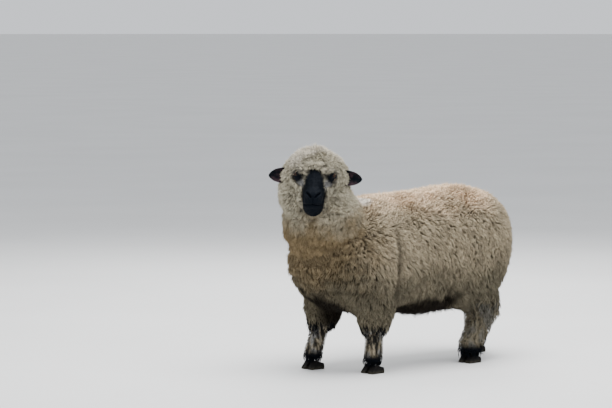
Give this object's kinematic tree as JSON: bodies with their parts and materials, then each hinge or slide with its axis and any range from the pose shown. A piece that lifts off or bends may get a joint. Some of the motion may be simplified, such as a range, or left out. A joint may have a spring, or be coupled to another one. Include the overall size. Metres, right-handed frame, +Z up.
{
  "type": "sheep",
  "caption": "Life-size still sheep in full fleece with a dark bare face, ears and feet, standing in mid stride with its head turned to its left.",
  "frame": {"origin": "on the ground, under the middle of the sheep's bounding box", "axes": "-X the way the body faces, -Y the sheep's left side, +Z up"},
  "size_m": [1.2244, 0.4968, 0.8984],
  "materials": {
    "fleece": "dense off-white fleece, dirty at its tips",
    "head_wool": "short curly wool",
    "leg_wool": "short dirty wool and dark hair",
    "dark_face": "bare skin with short black hair",
    "dark_ear": "bare skin with short black hair",
    "horn": "worn horn",
    "eye": "wet"
  },
  "bodies": {
    "root": {"trunk": "fleece", "neck": "fleece", "tail": "fleece", "head": "head_wool", "muzzle": "dark_face", "eye_left": "eye", "eye_right": "eye", "ear_left": "dark_ear", "ear_right": "dark_ear", "leg_fore_left_upper": "leg_wool", "leg_fore_left_lower": "leg_wool", "claw_fore_left_outer": "horn", "claw_fore_left_inner": "horn", "leg_fore_right_upper": "leg_wool", "leg_fore_right_lower": "leg_wool", "claw_fore_right_outer": "horn", "claw_fore_right_inner": "horn", "leg_hind_left_upper": "leg_wool", "leg_hind_left_lower": "leg_wool", "claw_hind_left_outer": "horn", "claw_hind_left_inner": "horn", "leg_hind_right_upper": "leg_wool", "leg_hind_right_lower": "leg_wool", "claw_hind_right_outer": "horn", "claw_hind_right_inner": "horn"}
  },
  "joints": []
}
